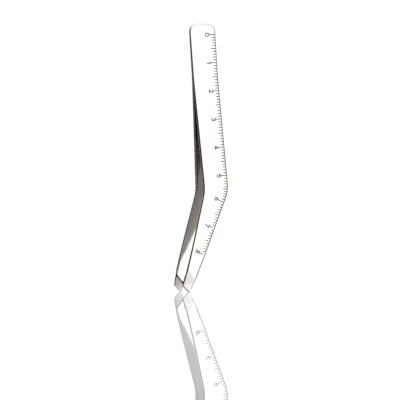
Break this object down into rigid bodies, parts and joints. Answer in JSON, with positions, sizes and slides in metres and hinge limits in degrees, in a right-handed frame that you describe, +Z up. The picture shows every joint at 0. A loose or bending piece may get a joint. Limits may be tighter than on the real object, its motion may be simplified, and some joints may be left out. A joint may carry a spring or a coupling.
{
  "type": "cranked slant-tip tweezers",
  "caption": "Cranked tweezers with slanted gripping tips: spring steel leaves welded together at the butt, with a centimetre rule along one edge of the front leaf.",
  "frame": {"origin": "middle of the butt's top end, on the plane midway between the leaves, where a hand or a stand holds the part", "axes": "+Z up from the tips to the butt, +Y from the front leaf, which carries the rule, to the rear leaf, +X across the leaves towards the ruled edge and the outside of the crank"},
  "size_m": [0.0175, 0.0102, 0.0945],
  "materials": {
    "leaf_steel": "satin polished stainless spring steel",
    "weld_steel": "fused steel, hidden between the leaves",
    "rule_marks": "dark etched rule lines and numbers"
  },
  "bodies": {
    "butt": {"butt_weld": "weld_steel"},
    "front_leaf": {"front_arm": "leaf_steel"},
    "rear_leaf": {"rear_arm": "leaf_steel"}
  },
  "joints": [
    {"name": "front_squeeze", "type": "hinge", "parent": "butt", "child": "front_leaf", "pos_m": [0, 0, -0.0225], "axis": [1, 0, 0], "range_deg": [0, 2.55], "stiffness_Nm_per_rad": 1.2},
    {"name": "rear_squeeze", "type": "hinge", "parent": "butt", "child": "rear_leaf", "pos_m": [0, 0, -0.0225], "axis": [-1, 0, 0], "range_deg": [0, 2.55], "stiffness_Nm_per_rad": 1.2}
  ],
  "couplings": [
    {"joint": "rear_squeeze", "follows": "front_squeeze", "ratio": 1}
  ]
}
